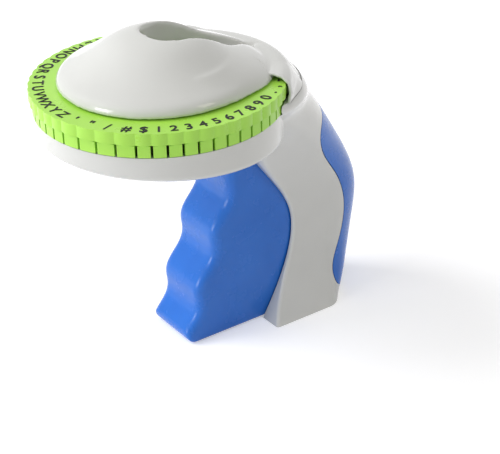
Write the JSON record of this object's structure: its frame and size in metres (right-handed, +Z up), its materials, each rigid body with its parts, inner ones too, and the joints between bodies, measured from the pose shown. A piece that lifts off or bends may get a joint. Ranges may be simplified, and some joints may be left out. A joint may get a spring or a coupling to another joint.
{
  "type": "label maker",
  "caption": "Hand-held embossing label maker: lettered dial under a domed cover, hourglass handle with finger-grooved squeeze trigger and pull-off rear cover.",
  "frame": {"origin": "middle of the flat rear pad of the handle's base, on the surface it stands on", "axes": "+Z up, -Y to the front where the dial is, +X to the right-hand side seen from behind the handle"},
  "size_m": [0.09, 0.1304, 0.1224],
  "materials": {
    "shell": "glossy light grey moulded plastic",
    "blue_grip": "satin blue moulded plastic",
    "lime_dial": "satin lime green moulded plastic",
    "steel": "plain bright steel",
    "white_inner": "white moulded plastic, unpolished",
    "roller_rubber": "matt black rubber",
    "label_tape": "wound black embossing tape, satin"
  },
  "bodies": {
    "housing": {"lower_housing": "shell", "top_cover": "shell", "cover_screws": "steel", "dial_axle": "steel", "axle_cap": "white_inner", "axle_screw": "steel", "detent_spring": "steel", "trigger_pin": "steel", "trigger_spring": "steel", "feed_axle": "steel", "pinch_axle": "steel", "tape_spindle": "white_inner"},
    "dial": {"character_ring": "lime_dial", "finger_wheel": "lime_dial"},
    "trigger": {"trigger": "blue_grip", "feed_pawl": "steel"},
    "plunger": {"press_plunger": "steel"},
    "cutter": {"cutter_blade": "steel"},
    "feed": {"feed_roller": "roller_rubber", "feed_ratchet": "white_inner"},
    "pinch": {"pinch_roller": "roller_rubber"},
    "tape": {"tape_roll": "label_tape", "tape_core": "white_inner"},
    "rear_cover": {"rear_cover": "blue_grip"}
  },
  "joints": [
    {"name": "dial_turn", "type": "hinge", "parent": "housing", "child": "dial", "pos_m": [0, -0.06, 0.1], "axis": [0, 0, 1], "continuous": true, "deforming": ["detent_spring"]},
    {"name": "trigger_squeeze", "type": "hinge", "parent": "housing", "child": "trigger", "pos_m": [0, -0.027, 0.0745], "axis": [1, 0, 0], "range_deg": [0, 10], "stiffness_Nm_per_rad": 4, "springref_deg": -6.88, "deforming": ["trigger_spring"]},
    {"name": "plunger_lift", "type": "slide", "parent": "housing", "child": "plunger", "axis": [0, 0, 1], "range_m": [0, 0.00114]},
    {"name": "cutter_lift", "type": "slide", "parent": "housing", "child": "cutter", "axis": [0, 0, 1], "range_m": [0, 0.001], "stiffness_N_per_m": 300, "springref_m": -0.001},
    {"name": "feed_turn", "type": "hinge", "parent": "housing", "child": "feed", "pos_m": [0, -0.008, 0.0745], "axis": [1, 0, 0], "range_deg": [-45, 0]},
    {"name": "pinch_turn", "type": "hinge", "parent": "housing", "child": "pinch", "pos_m": [0, 0.00055, 0.076], "axis": [1, 0, 0], "range_deg": [0, 70.31]},
    {"name": "tape_turn", "type": "hinge", "parent": "housing", "child": "tape", "pos_m": [0, 0.002, 0.036], "axis": [1, 0, 0], "continuous": true},
    {"name": "rear_cover_pull", "type": "slide", "parent": "housing", "child": "rear_cover", "axis": [0, 1, 0], "range_m": [0, 0.03]}
  ],
  "couplings": [
    {"joint": "plunger_lift", "follows": "trigger_squeeze", "m_per_rad": 0.0065},
    {"joint": "feed_turn", "follows": "trigger_squeeze", "ratio": -4.5},
    {"joint": "pinch_turn", "follows": "trigger_squeeze", "ratio": 7.0312}
  ]
}
